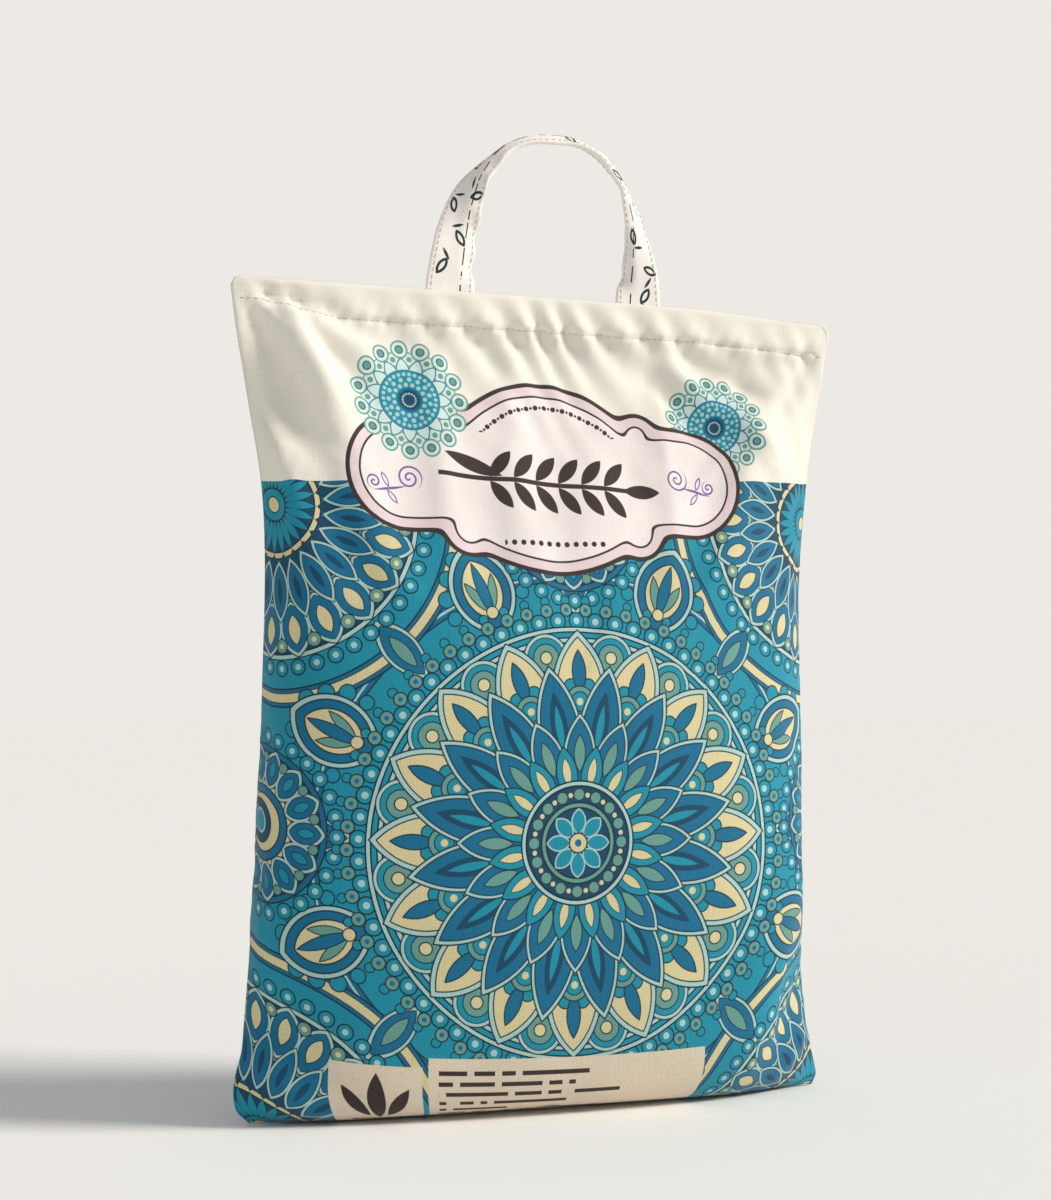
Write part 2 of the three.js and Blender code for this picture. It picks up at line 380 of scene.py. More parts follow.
def print_side_rosettes(art, eighth):
    """Half rosettes at the middle of each side of the field."""
    tree = art.tree
    centre = polar(tree, eighth, (CORNER_REACH, 0, 0))
    beads = wedge(tree, centre, 28)
    art.discs(beads, (50.5, 0, 4.0, "ground", "line", 0.8), (50.5, 0, 1.7, "pale"))
    art.bands(centre[0], [
        (24, "cream"), (25, "line"), (41, "deep"), (42, "line"), (44.6, "petal"), (45.6, "line")])
    rays = wedge(tree, centre, 14)
    art.petals(rays, (21, 44, 7.6, "pale", "line", 0.7), (23.5, 41.5, 5.8, "petal", "line", 0.6),
               (28, 38, 2.4, "ground", "line", 0.5))
    between = wedge(tree, centre, 14, half_way=True)
    art.discs(between, (38.5, 0, 2.6, "sage", "line", 0.6))
    art.rounds(centre[0], (21, "petal", "line", 1.0), (16, "cream", "line", 1.0))
    art.discs(eighth, (CORNER_REACH + 3, 0, 12, "deep", "line", 0.8),
              (CORNER_REACH + 3, 0, 6, "ground", "pale", 1.2))


def print_medallions(art, centre):
    """Eight almond medallions in the gaps round the main rosette, and spears between them."""
    tree = art.tree
    spears = wedge(tree, centre, 8)
    art.petals(spears, (129, 172, 9.5, "pale", "line", 0.8), (132, 168, 7.6, "petal", "line", 0.6),
               (138, 160, 3.4, "sage", "line", 0.6))
    places = wedge(tree, centre, 8, half_way=True)
    art.discs(places, (176, 10, 4.4, "ground", "line", 0.8), (167, 18, 4.4, "ground", "line", 0.8),
              (156, 23, 4.4, "ground", "line", 0.8), (144, 22.5, 3.8, "ground", "line", 0.8))
    art.petals(places, (127, 182, 19.5, "pale", "line", 1.0), (130.5, 178, 16.6, "petal", "line", 0.9),
               (136, 172, 11.6, "cream", "line", 0.9))
    art.lay(leaf(tree, places, (151, 5.6), 20, 10, 2.5), "sage", "line", 0.7)
    art.petals(places, (138, 170, 3.2, "petal", "line", 0.7))
    art.discs(places, (139.5, 0, 3.2, "cream", "line", 0.7))


def print_main_rosette(art, centre):
    """The large rosette: sixteen lotus petals in four rows inside a banded ring."""
    tree = art.tree
    beads = wedge(tree, centre, 64, half_way=True)
    art.discs(beads, (137.6, 0, 2.4, "ground", "line", 0.7), (132.0, 0, 3.4, "sage", "line", 0.8),
              (132.0, 0, 1.3, "petal"))
    beads = wedge(tree, centre, 64)
    art.discs(beads, (125.6, 0, 4.4, "ground", "line", 0.9), (125.6, 0, 1.9, "pale"))
    stripes = [(84 + 2.9 * i + part, ink) for i in range(11) for part, ink in ((2.0, "pale"), (2.9, "line"))]
    art.bands(centre[0], [
        (84, "line"), *stripes, (118.3, "ground"), (119.3, "line"), (121.3, "pale"), (122.3, "line")])
    rays = wedge(tree, centre, 16)
    between = wedge(tree, centre, 16, half_way=True)
    art.discs(between, (105.5, 0, 13.4, "pale", "line", 0.8), (105.5, 0, 11.2, "ground", "line", 0.6),
              (105.5, 0, 7.6, "sage", "line", 0.7), (105.5, 0, 3.2, "cream", "line", 0.8))
    art.petals(rays, (52, 119.5, 16.6, "pale", "line", 0.9), (55, 115.5, 13.8, "cream", "line", 0.8))
    art.discs(rays, (87.5, 5.4, 4.0, "ground", "line", 0.8))
    art.petals(rays, (84, 108, 3.8, "petal", "line", 0.8))
    art.discs(rays, (79, 0, 8.4, "sage", "line", 0.8), (79, 0, 5.2, "ground", "line", 0.7),
              (79, 0, 2.0, "cream"))
    art.petals(between, (28, 100, 13.0, "pale", "line", 0.9), (31, 96, 11.0, "petal", "line", 0.8),
               (44, 86, 5.2, "deep"), (52, 78, 2.2, "ground"))
    art.petals(rays, (26, 72, 9.6, "pale", "line", 0.8), (28.5, 69, 7.8, "petal", "line", 0.7),
               (40, 60, 3.2, "sage", "line", 0.6))
    art.petals(between, (24, 54, 6.0, "ground", "line", 0.8), (32, 48, 2.4, "cream", "line", 0.5))
    art.bands(centre[0], [
        (19, "deep"), (20, "line"), (22, "sage"), (23, "line"), (31, "deep"), (32.2, "line"), (34, "pale"),
        (35, "line")])
    art.discs(rays, (27, 0, 3.0, "sage", "line", 0.5))
    art.discs(between, (27, 0, 1.3, "cream"))
    flower = wedge(tree, centre, 8)
    art.petals(flower, (5.5, 18.5, 3.8, "ground", "pale", 0.8))
    art.rounds(centre[0], (5.0, "cream", "line", 0.9), (2.0, "petal"))


def print_field(art, place):
    """The printed field: teal ground with dots, fans, half rosettes, medallions and the main rosette."""
    tree = art.tree
    centre = polar(tree, place, ROSETTE_CENTRE)
    eighth = wedge(tree, centre, 4)
    art.lay(ring(tree, centre[0], 152, 3.0), "petal", "line", 0.9)
    art.lay(ring(tree, centre[0], 152, 0.6), "pale")
    corner = add(tree, "ShaderNodeVectorMath", [eighth, (CORNER_REACH, CORNER_REACH, 0)], out=1,
                 operation="DISTANCE")
    art.lay(ring(tree, corner, 114, 4.6), "petal", "line", 1.0)
    art.lay(ring(tree, corner, 114, 2.4), "cream", "line", 0.6)
    print_medallions(art, centre)
    print_corner_fans(art, eighth)
    print_side_rosettes(art, eighth)
    print_main_rosette(art, centre)


def print_roundel(art, place, middle, radius):
    """A small dotted roundel of petals inside a ring of beads."""
    tree = art.tree
    centre = polar(tree, place, (*middle, 0))
    between = wedge(tree, centre, 15, half_way=True)
    art.discs(between, (radius * 0.70, 0, radius * 0.105, "roundel", "sage", 0.8),
              (radius * 0.70, 0, radius * 0.045, "sage"))
    beads = wedge(tree, centre, 15)
    art.discs(beads, (radius * 0.86, 0, radius * 0.125, "roundel", "sage", 1.1),
              (radius * 0.86, 0, radius * 0.055, "sage", "deep", 0.7))
    art.petals(beads, (radius * 0.3, radius * 0.70, radius * 0.10, "roundel", "petal", 0.7))
    art.rounds(centre[0], (radius * 0.50, "ground", "petal", 0.6))
    fine = wedge(tree, centre, 30)
    art.discs(fine, (radius * 0.44, 0, radius * 0.030, "pale"))
    art.discs(between, (radius * 0.35, 0, radius * 0.036, "pale"))
    art.discs(beads, (radius * 0.26, 0, radius * 0.034, "pale"))
    art.rounds(centre[0], (radius * 0.17, "deep", "petal", 1.4))
    art.discs(between, (radius * 0.11, 0, radius * 0.016, "pale"))


def label_shape(tree, place):
    """Distance to the label's edge: a long plaque with an arch above and below and four small lobes."""
    local = add(tree, "ShaderNodeVectorMath", [place, (*LABEL_CENTRE, 0)], operation="SUBTRACT")
    aside, height = across_and_up(tree, local)
    aside = add(tree, "ShaderNodeMath", [aside], operation="ABSOLUTE")
    folded = add(tree, "ShaderNodeCombineXYZ", [aside, height])
    beyond = add(tree, "ShaderNodeMath", [aside, 95], operation="SUBTRACT")
    beyond = add(tree, "ShaderNodeMath", [beyond, 0], operation="MAXIMUM")
    shape = disc(tree, add(tree, "ShaderNodeCombineXYZ", [beyond, height]), (0, 2, 0), 36)
    below = add(tree, "ShaderNodeMath", [0, height], operation="SUBTRACT")
    arches = (shared(tree, disc(tree, folded, (0, -15, 0), 78), below),
              shared(tree, disc(tree, folded, (0, 34, 0), 92), height))
    for part in (*arches, disc(tree, folded, (56, -31, 0), 17), disc(tree, folded, (62, 33, 0), 14)):
        shape = add(tree, "ShaderNodeMath", [shape, part, 12], operation="SMOOTH_MIN")
    return shape


def spiral(tree, place, middle, radius, pitch, hand):
    """A thin curl that winds in to its middle."""
    distance, angle = polar(tree, place, (*middle, 0))
    advance = hand * pitch / (2 * math.pi)
    turns = add(tree, "ShaderNodeMath", [angle, advance, distance], operation="MULTIPLY_ADD")
    turns = add(tree, "ShaderNodeMath", [turns, pitch / 2, -pitch / 2], operation="WRAP")
    turns = add(tree, "ShaderNodeMath", [turns], operation="ABSOLUTE")
    line = add(tree, "ShaderNodeMath", [turns, 0.55], operation="SUBTRACT")
    return shared(tree, line, add(tree, "ShaderNodeMath", [distance, radius], operation="SUBTRACT"))


def print_label(art, place, height):
    """The label: pink border, thin inner line, a rice ear, scrolls and rows of dots."""
    tree = art.tree
    edge = label_shape(tree, place)
    for inset, ink in ((0, "ink"), (2.7, "blush"), (8.0, "ink"), (9.3, "label")):
        art.lay(add(tree, "ShaderNodeMath", [edge, inset], operation="ADD"), ink)

    # The rice ear lies along the label with its grains in pairs
    ear = add(tree, "ShaderNodeMapping", {0: place, 1: (-10, 397, 0), 2: (0, 0, math.radians(-3))},
              vector_type="TEXTURE")
    along, aside = across_and_up(tree, ear)
    along = add(tree, "ShaderNodeMath", [along, 7.5, -7.5], operation="WRAP")
    folded_aside = add(tree, "ShaderNodeMath", [aside], operation="ABSOLUTE")
    cell = add(tree, "ShaderNodeCombineXYZ", [along, folded_aside])
    grains = leaf(tree, cell, (0.4, 9.6), 50, 10.6, 4.1)
    grains = shared(tree, grains, box_shape(tree, ear, (-37.5, -22), (52.5, 22)))
    art.lay(grains, "ink")
    art.lay(leaf(tree, ear, (64, 0), 0, 12, 4.4), "ink")
    art.lay(box_shape(tree, ear, (-70, -1.4), (56, 1.4)), "ink")
    art.lay(leaf(tree, ear, (-47, 8), 162, 19, 4.4), "ink")

    for (x, y), hand in (((-107, 396), 1), ((88, 401), -1)):
        art.lay(spiral(tree, place, (x + 9 * hand, y + 1), 8.0, 4.0, hand), "violet")
        art.lay(spiral(tree, place, (x - 14 * hand, y - 3.5), 4.6, 3.0, -hand), "violet")
        art.lay(leaf(tree, place, (x - 4 * hand, y - 6.5), 12 * hand, 11, 0.8), "violet")
        for along, rise, turn in ((-6.5, -1.2, 115), (-2.5, -11.5, -50)):
            sprig = leaf(tree, place, (x + along * hand, y + rise), turn * hand, 4.4, 1.4)
            art.lay(ring(tree, sprig, 0, 0.35), "violet")

    arch = polar(tree, place, (-5, 384, 0))
    upper = add(tree, "ShaderNodeMath", [428, height], operation="SUBTRACT")
    dots = wedge(tree, arch, 64)
    art.lay(shared(tree, disc(tree, dots, (61.5, 0, 0), 1.5), upper), "ink")
    dots = wedge(tree, arch, 64, half_way=True)
    art.lay(shared(tree, disc(tree, dots, (61.5, 0, 0), 0.8), upper), "ink")
    row = add(tree, "ShaderNodeVectorMath", {0: place, 1: (2.9, 359.5 + 50, 1), 2: (-2.9, 359.5 - 50, -1)},
              operation="WRAP")
    row = shared(tree, disc(tree, row, (0, 359.5, 0), 1.6), box_shape(tree, place, (-40.6, 350), (26, 370)))
    art.lay(row, "ink")


def print_bars(art, place, low, high, pitch, seed):
    """Rows of short plain bars, each row of its own length."""
    tree = art.tree
    across, rise = across_and_up(tree, place)
    local = add(tree, "ShaderNodeMath", [rise, low[1]], operation="SUBTRACT")
    share = add(tree, "ShaderNodeMath", [local, pitch], operation="DIVIDE")
    row = add(tree, "ShaderNodeMath", [share], operation="FLOOR")
    within = add(tree, "ShaderNodeMath", [share], operation="FRACT")
    within = add(tree, "ShaderNodeMath", [within, 0.5], operation="SUBTRACT")
    within = add(tree, "ShaderNodeMath", [within], operation="ABSOLUTE")
    bar = add(tree, "ShaderNodeMath", [within, pitch, -pitch * 0.2], operation="MULTIPLY_ADD")
    given = add(tree, "ShaderNodeMath", [row, seed], operation="ADD")
    chance = add(tree, "ShaderNodeTexWhiteNoise", {1: given}, noise_dimensions="1D")
    end = add(tree, "ShaderNodeMapRange", [chance, 0, 1, low[0] + (high[0] - low[0]) * 0.35, high[0]])
    beyond_end = add(tree, "ShaderNodeMath", [across, end], operation="SUBTRACT")
    bar = shared(tree, bar, beyond_end, box_shape(tree, place, low, high))
    # Short gaps part the bars
    step = add(tree, "ShaderNodeMath", [across, 1 / 4.1], operation="MULTIPLY")
    step = add(tree, "ShaderNodeMath", [step], operation="FLOOR")
    spot = add(tree, "ShaderNodeCombineXYZ", [step, given])
    chance = add(tree, "ShaderNodeTexWhiteNoise", [spot], noise_dimensions="2D")
    gap = add(tree, "ShaderNodeMath", [chance, 0.2], operation="LESS_THAN")
    bar = add(tree, "ShaderNodeMath", [gap, 9.0, bar], operation="MULTIPLY_ADD")
    art.lay(bar, "ink")


def print_base_panels(art, place):
    """Two plain panels at the foot, one with a sprout as a plain sign, one with rows of bars."""
    tree = art.tree
    art.lay(box_shape(tree, place, (-140, 10), (-87.5, 63)), "panel")
    for aside, turn, size in ((-12, 122, 13), (12, 58, 13), (0, 90, 17)):
        art.lay(leaf(tree, place, (-114 + aside, 28 + size * 0.8), turn, size, size * 0.3), "ink")
    art.lay(box_shape(tree, place, (-130, 20), (-98, 22.5)), "ink")
    art.lay(box_shape(tree, place, (-84, 8), (87, 68.5)), "panel")
    print_bars(art, place, (-78, 23), (40, 63), 6.7, 3.0)


# The threads are drawn this many millimetres apart, about twice the real spacing, so that they show
THREAD_SPACING = 0.9
WEAVE_DEPTH = 0.00025


def woven(tree, place, colour):
    """Plain weave over a colour: gives the finished colour, with painted light on the thread tops and painted
    shade in the dips between them, and the height of the threads.
    """
    waves = add(tree, "ShaderNodeVectorMath", {0: place, 3: math.pi / THREAD_SPACING}, operation="SCALE")
    waves = add(tree, "ShaderNodeVectorMath", [waves], operation="SINE")
    height = add(tree, "ShaderNodeMath", across_and_up(tree, waves), operation="MULTIPLY")
    across = add(tree, "ShaderNodeMapping", {0: place, 3: (0.035, 1.1, 1)})
    across = add(tree, "ShaderNodeTexNoise", {0: across, 2: 1.0, 3: 2.0}, noise_dimensions="2D")
    upward = add(tree, "ShaderNodeMapping", {0: place, 3: (1.1, 0.035, 1)})
    upward = add(tree, "ShaderNodeTexNoise", {0: upward, 2: 1.0, 3: 2.0}, noise_dimensions="2D")
    slubs = add(tree, "ShaderNodeMath", [across, upward], operation="ADD")
    height = add(tree, "ShaderNodeMath", [slubs, 1.4, height], operation="MULTIPLY_ADD")
    # Painted light and shade: the colour follows the threads' height, lighter on their tops and darker in the
    # dips between them; the slubs and the mottle are the canvas's own uneven tone
    tone = add(tree, "ShaderNodeMapRange", [height, 0.4, 2.4, 0.95, 1.03], clamp=False)
    mottle = add(tree, "ShaderNodeTexNoise", {0: place, 2: 0.02, 3: 3.0}, noise_dimensions="2D")
    mottle = add(tree, "ShaderNodeMapRange", [mottle, 0.3, 0.7, 0.95, 1.03])
    tone = add(tree, "ShaderNodeMath", [tone, mottle], operation="MULTIPLY")
    return multiplied(tree, colour, tone), height


def finish_cloth(tree, colour, height, roughness, depth):
    """Closes a cloth material: matt fibres with a little sheen and a raised weave."""
    bump = add(tree, "ShaderNodeBump", {"Strength": 0.4, "Distance": depth, "Height": height})
    shader = add(tree, "ShaderNodeBsdfPrincipled", {
        "Base Color": colour, "Roughness": roughness, "IOR": 1.5, "Specular IOR Level": 0.3,
        "Sheen Weight": 0.20, "Sheen Roughness": 0.45, "Normal": bump})
    add(tree, "ShaderNodeOutputMaterial", [shader])


def flat_place(tree):
    """The flat cloth's own millimetres, from the piece's print map in metres."""
    flat = add(tree, "ShaderNodeUVMap", uv_map="print")
    return add(tree, "ShaderNodeVectorMath", {0: flat, 3: 1 / MM}, operation="SCALE")


def ink_table():
    """The print's colours by name."""
    colours = settings().colours
    inks = {name: list(getattr(colours, name)) for name in BagColourSettings.__annotations__}
    # The tape colour is the canvas painted lighter: painted light on the strap, which stands turned away from
    # the key
    plain = {"label": "#F1E8E5", "tape": "#F8F2EC", "panel": "#E2D3BD", "roundel": "#CFE4DE",
             "mark": "#1D3338"}
    return inks | {name: linear(value) for name, value in plain.items()}


def printed_canvas(name, front):
    """Cotton canvas, screen printed: matt, a visible plain weave, inks that lie flat in the threads."""
    material, tree = new_material(name)
    place = flat_place(tree)
    art = Print(tree, ink_table(), "ground")
    print_field(art, place)
    across, rise = across_and_up(tree, place)
    field_top = add(tree, "ShaderNodeMath", [across, PRINT_TOP_SLOPE if front else 0.0, PRINT_TOP],
                    operation="MULTIPLY_ADD")
    art.lay(add(tree, "ShaderNodeMath", [field_top, rise], operation="SUBTRACT"), "canvas")
    if front:
        print_roundel(art, place, (111, 438), 34)
        print_label(art, place, rise)
        print_roundel(art, place, (-92, 446), 37)
    print_base_panels(art, place)
    colour, height = woven(tree, place, art.colour)
    finish_cloth(tree, colour, height, 0.78, WEAVE_DEPTH)
    return material


def strap_canvas():
    """Folded cotton tape of the same canvas, painted paler than it as painted light on the strap, with a few
    loose printed leaves and loops.
    """
    material, tree = new_material("Folded canvas strap")
    place = flat_place(tree)
    # The strap starts from the tape colour, which is painted light over the canvas's own colour
    art = Print(tree, ink_table(), "tape")
    marks = ((-7, 26, 60), (2, 44, -50), (-8, 63, 120), (8, 72, 30), (-9, 92, -35), (3, 104, 80),
             (-4, 127, 10), (8, 150, 30), (-8, 166, 20), (9, 187, -60), (-3, 204, 45), (6, 226, 110),
             (-8, 247, -20), (-4, 262, 60), (7, 274, 50))
    for x, y, turn in marks:
        art.lay(ring(tree, leaf(tree, place, (x, y), turn, 4.6, 2.0), 0, 0.75), "mark")
        art.lay(leaf(tree, place, (x * 0.5 - 2, y + 7), turn + 70, 4.2, 0.9), "mark")
    # A broken dark line runs beside the crease
    across, along = across_and_up(tree, place)
    dash = add(tree, "ShaderNodeTexNoise", {1: along, 2: 0.13, 3: 1.0}, noise_dimensions="1D")
    dash = add(tree, "ShaderNodeMapRange", [dash, 0.42, 0.46, 1.5, -0.4])
    aside = add(tree, "ShaderNodeMath", [across, 5.6], operation="SUBTRACT")
    aside = add(tree, "ShaderNodeMath", [aside], operation="ABSOLUTE")
    art.lay(add(tree, "ShaderNodeMath", [aside, dash], operation="ADD"), "mark")
    colour, height = woven(tree, place, art.colour)
    finish_cloth(tree, colour, height, 0.8, WEAVE_DEPTH)
    return material


def cotton_thread():
    """Twisted cotton sewing thread: matt, slightly darker than the canvas, with its twist as a fine bump."""
    material, tree = new_material("Twisted cotton thread")
    place = add(tree, "ShaderNodeTexCoord", out=3)
    twist = add(tree, "ShaderNodeTexNoise", {0: place, 2: 1800.0, 3: 1.0})
    tone = add(tree, "ShaderNodeMapRange", [twist, 0.3, 0.7, 0.85, 1.05])
    colour = multiplied(tree, list(settings().colours.thread), tone)
    finish_cloth(tree, colour, twist, 0.7, 0.0001)
    return material


# Cloth panels

def cad_form():
    """A search tree over the CAD bag, where the cloth starts."""
    mesh = bmesh.new()
    mesh.from_mesh(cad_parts["filled_bag"].data)
    bmesh.ops.remove_doubles(mesh, verts=mesh.verts, dist=1e-6)
    tree = BVHTree.FromBMesh(mesh)
    mesh.free()
    return tree


def along_path(path, shares):
    """Points at given shares of a path's length."""
    steps = np.linalg.norm(np.diff(path, axis=0), axis=1)
    lengths = np.concatenate([[0], np.cumsum(steps)])
    wanted = shares * lengths[-1]
    return np.stack([np.interp(wanted, lengths, path[:, axis]) for axis in range(3)], axis=1)


def front_depth(form, x, z):
    """How far the form's front stands out from the middle plane."""
    hit = form.ray_cast(Vector((x, -0.3, z)), Vector((0, 1, 0)))[0]
    return -hit.y if hit else 0.0


def front_section(form, z, columns):
    """The front of one level section, from the left seam to the right one in equal steps of cloth."""
    seams = []
    for side in (-1, 1):
        hit = form.ray_cast(Vector((side * 0.4, 0.0001, z)), Vector((-side, 0, 0)))[0]
        seams.append(hit.x)
    turn = np.linspace(0, np.pi, 161)
    x = sum(seams) / 2 - (seams[1] - seams[0]) / 2 * np.cos(turn) * 0.9995
    y = np.array([-front_depth(form, value, z) for value in x])
    y[0] = y[-1] = 0
    return along_path(np.stack([x, y, np.full_like(x, z)], axis=1), np.linspace(0, 1, columns + 1))


def start_sheet(form, columns, rows):
    """The front panel laid on the CAD form: a grid of points, and the cloth's height from seam to edge."""
    low, high = 0.0008, BAG_HEIGHT - 0.0008
    levels = low + (high - low) * np.linspace(0, 1, 160) ** 1.3
    sections = np.stack([front_section(form, z, columns) for z in levels])
    shares = np.linspace(0, 1, rows + 1)
    grid = np.zeros((rows + 1, columns + 1, 3))
    for i in range(columns + 1):
        path = sections[:, i]
        foot = path[0] * (1, 0, 1)
        if path[0, 1] < -1e-4:
            under = foot + (path[0] - foot) * np.linspace(0, 0.95, 8)[:, None]
            path = np.vstack([under, path])
        grid[:, i] = along_path(path, shares)
        if i == columns // 2:
            height = np.linalg.norm(np.diff(path, axis=0), axis=1).sum()
    for _ in range(6):
        inner = (grid[:-2, 1:-1] + grid[2:, 1:-1] + grid[1:-1, :-2] + grid[1:-1, 2:]) / 4
        grid[1:-1, 1:-1] = inner
        grid[:, :, 2] = np.maximum(grid[:, :, 2], low)
    return grid, height


def flat_sheet(grid, width, height):
    """The panel as it is cut. Near the seams it is a little shorter, so that little of it buckles there."""
    rows, columns = grid.shape[0] - 1, grid.shape[1] - 1
    flat = np.zeros_like(grid)
    flat[:, :, 0] = np.linspace(-width / 2, width / 2, columns + 1)
    flat[:, :, 2] = np.linspace(0, height, rows + 1)[:, None]
    seam = np.linalg.norm(np.diff(grid[:, 0], axis=0), axis=1).sum()
    spare_share = 0.6 * (height - seam) / height
    edge = np.abs(flat[:, :, 0]) / (width / 2)
    flat[:, :, 2] += (height - flat[:, :, 2]) * spare_share * edge ** 3
    return flat


def sewn_mesh(grid, flat):
    """Front and back panels sewn into one closed mesh, with the flat cut as a second shape."""
    rows, columns = grid.shape[0] - 1, grid.shape[1] - 1
    number = np.zeros((2, rows + 1, columns + 1), dtype=int)
    points, cut = [], []
    for side in (0, 1):
        for j in range(rows + 1):
            for i in range(columns + 1):
                border = i in (0, columns) or j in (0, rows)
                if side and border:
                    number[1, j, i] = number[0, j, i]
                    continue
                number[side, j, i] = len(points)
                points.append(grid[j, i] * (1, -1 if side else 1, 1))
                cut.append(flat[j, i] + (0, 0 if border else (-0.003, 0.003)[side], 0))
    faces = []
    for side in (0, 1):
        for j in range(rows):
            for i in range(columns):
                corners = [number[side, j, i], number[side, j, i + 1], number[side, j + 1, i + 1],
                           number[side, j + 1, i]]
                faces.append([int(k) for k in (corners[::-1] if side else corners)])
    return np.array(points), np.array(cut), faces, number


def settle_cloth(grid, flat, cloth):
    """Lets the sewn cloth settle round the rice's weight and returns both panels as grids."""
    points, cut, faces, number = sewn_mesh(grid, flat)
    mesh = bpy.data.meshes.new("settling_cloth")
    mesh.from_pydata(points.tolist(), [], faces)
    piece = put("settling_cloth", mesh)
    piece.shape_key_add(name="Basis")
    cut_key = piece.shape_key_add(name="Flat cut")
    cut_key.data.foreach_set("co", cut.ravel())
    cut_key.value = 0

    rows = grid.shape[0] - 1
    held = piece.vertex_groups.new(name="Held")
    hem_row = rows * (1 - cloth.hem_depth / flat[-1, :, 2].max())
    for j in range(math.ceil(hem_row), rows + 1):
        group = np.unique(number[:, j]).tolist()
        held.add(group, 1.0 if j == rows else 0.6, "REPLACE")

    modifier = piece.modifiers.new("Cloth", "CLOTH")
    values = modifier.settings
    values.quality = 6
    values.mass = 0.0002
    values.tension_stiffness = values.compression_stiffness = 80
    values.shear_stiffness = 16
    values.bending_stiffness = 0.05
    values.tension_damping = values.compression_damping = values.shear_damping = 5
    values.bending_damping = 0.5
    values.air_damping = 4
    # The rice presses harder towards the base, as a fluid does
    values.use_pressure = True
    values.uniform_pressure_force = 0
    values.use_pressure_volume = True
    values.target_volume = cloth.rice_volume
    values.pressure_factor = 30
    values.fluid_density = 0.85
    values.vertex_group_mass = "Held"
    values.rest_shape_key = cut_key
    modifier.collision_settings.distance_min = 0.001

    ground = flat_square("settling_ground", 1)
    ground.modifiers.new("Collision", "COLLISION")
    ground.collision.thickness_outer = 0.001
    ground.collision.cloth_friction = 20

    scene = bpy.context.scene
    modifier.point_cache.frame_start = 1
    modifier.point_cache.frame_end = cloth.frames + 2
    for step in range(1, cloth.frames + 1):
        scene.frame_set(step)
    settled = piece.evaluated_get(bpy.context.evaluated_depsgraph_get())
    result = np.zeros(len(points) * 3)
    settled.data.vertices.foreach_get("co", result)
    moved = result.reshape(-1, 3) - points
    travel = np.linalg.norm(moved, axis=1, keepdims=True)
    moved *= np.minimum(1, cloth.most_travel / np.maximum(travel, 1e-9))
    result = points + moved
    print("cloth moved up to %.1f mm" % (travel.max() / MM))
    for spare in (piece, ground):
        data = spare.data
        bpy.data.objects.remove(spare)
        bpy.data.meshes.remove(data)
    scene.frame_set(1)
    return result[number[0]], result[number[1]]


# The right seam runs out to the base corner from this height, and this far
FLARE_TOP = 0.095
FLARE_REACH = 0.0120


def seam_place(form, side, z):
    """Where the form's side seam lies at one height."""
    return form.ray_cast(Vector((side * 0.4, 0.0001, max(z, 0.002))), Vector((-side, 0, 0)))[0].x


def flared_seam(form, side, z):
    """How far out a side seam lies, where the right one runs out evenly into the slack base corner."""
    if side < 0 or z > FLARE_TOP:
        return seam_place(form, side, z)
    return seam_place(form, side, FLARE_TOP) + FLARE_REACH * (1 - z / FLARE_TOP) ** 1.2


def true_up(panels, grid, form):
    """Sets the settled cloth down on the floor, calms its base corners and trues its side seams."""
    lift = panels[0][0, :, 2] - 0.0006
    for panel, start in zip(panels, (grid, grid * (1, -1, 1))):
        panel[:, :, 2] -= lift * (1 - smooth_step(panel[:, :, 2], 0.012, 0.100))
        corner = smooth_step(np.abs(start[:, :, 0]), 0.105, 0.155)
        corner = (corner * (1 - smooth_step(start[:, :, 2], 0.050, 0.125)))[:, :, None]
        panel += corner * (start - panel)
    stretch = []
    for side, column in ((-1, 0), (1, -1)):
        seam = panels[0][:, column]
        share = np.array([flared_seam(form, side, z) / x for x, _, z in seam])
        padded = np.concatenate([share[:1].repeat(2), share, share[-1:].repeat(2)])
        stretch.append(np.convolve(padded, np.full(5, 0.2), mode="valid")[:, None])
    for panel in panels:
        across = panel[:, :, 0]
        pull = np.where(across < 0, stretch[0], stretch[1]) - 1
        panel[:, :, 0] *= 1 + pull * smooth_step(np.abs(across), 0.03, 0.14)


def resample(grid, wanted):
    """Smooth values at fractional places along a grid's first axis, by a Catmull-Rom curve."""
    last = grid.shape[0] - 1
    base = np.clip(np.floor(wanted).astype(int), 0, last - 1)
    share = (wanted - base)[:, None, None]
    before, start, end, after = (grid[np.clip(base + step, 0, last)] for step in (-1, 0, 1, 2))
    return 0.5 * (2 * start + (end - before) * share
                  + (2 * before - 5 * start + 4 * end - after) * share ** 2
                  + (3 * start - before - 3 * end + after) * share ** 3)


def grid_normals(grid):
    """Unit normals of a grid, to the side that its rows and columns turn to."""
    along = np.gradient(grid, axis=1)
    upward = np.gradient(grid, axis=0)
    normal = np.cross(along, upward)
    return normal / np.maximum(np.linalg.norm(normal, axis=2, keepdims=True), 1e-12)


def stitch_height(u, height, cloth):
    """Where the hem's stitches run: level, and up towards the left corner."""
    return height - cloth.hem_depth + 0.009 * smooth_step(-u, 0.125, 0.185)


def crease(u, v, fold):
    """A soft fold between two places of the flat cloth, deepest in the middle."""
    x, y, end_x, end_y, width, depth = np.array(fold) * MM
    run_x, run_y = end_x - x, end_y - y
    length = np.hypot(run_x, run_y)
    along = ((u - x) * run_x + (v - y) * run_y) / length ** 2
    aside = ((u - x) * run_y - (v - y) * run_x) / length
    fade = smooth_step(along, 0, 0.35) * (1 - smooth_step(along, 0.5, 1))
    return depth * fade * np.exp(-(aside / width) ** 2)


